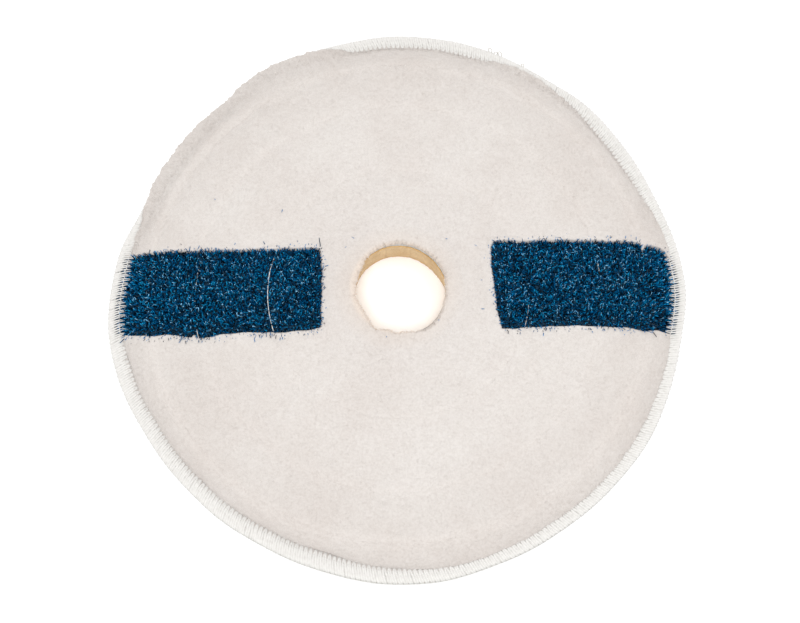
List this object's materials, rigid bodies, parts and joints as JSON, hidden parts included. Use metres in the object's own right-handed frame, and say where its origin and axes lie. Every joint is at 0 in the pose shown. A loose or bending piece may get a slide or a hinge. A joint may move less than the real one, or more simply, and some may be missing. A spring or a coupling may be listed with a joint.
{
  "type": "scrub-strip polishing pad",
  "caption": "Round plush rotary-machine pad with a tan foam core, an open centre hole, blue bristle scrub strips across the face, ring quilting and an overlocked rim.",
  "frame": {"origin": "on the axis of the centre hole, in the plane of the back face that lies on the driver or on a table", "axes": "+Z along the hole's axis out of the white pile face; +X along the right-hand bristle strip; +Y away from the viewer across the strips"},
  "size_m": [0.4319, 0.432, 0.0275],
  "materials": {
    "white_pile": "matte",
    "white_cloth": "matte",
    "back_loop_cloth": "matte",
    "tan_foam": "matte",
    "blue_cloth": "matte",
    "blue_bristle": "satin",
    "blue_thread": "matte",
    "white_thread": "satin"
  },
  "bodies": {
    "root": {"back_loops": "back_loop_cloth", "back_ground": "white_cloth", "foam_core": "tan_foam", "face_ground": "white_cloth", "face_pile": "white_pile", "left_strip_ground": "blue_cloth", "left_strip_bristles": "blue_bristle", "left_strip_stitching": "blue_thread", "right_strip_ground": "blue_cloth", "right_strip_bristles": "blue_bristle", "right_strip_stitching": "blue_thread", "quilt_thread_inner": "white_thread", "quilt_thread_middle": "white_thread", "quilt_thread_outer": "white_thread", "bobbin_thread_inner": "white_thread", "bobbin_thread_middle": "white_thread", "bobbin_thread_outer": "white_thread", "overlock_inner_needle_thread": "white_thread", "overlock_outer_needle_thread": "white_thread", "overlock_upper_looper": "white_thread", "overlock_lower_looper": "white_thread"}
  },
  "joints": []
}
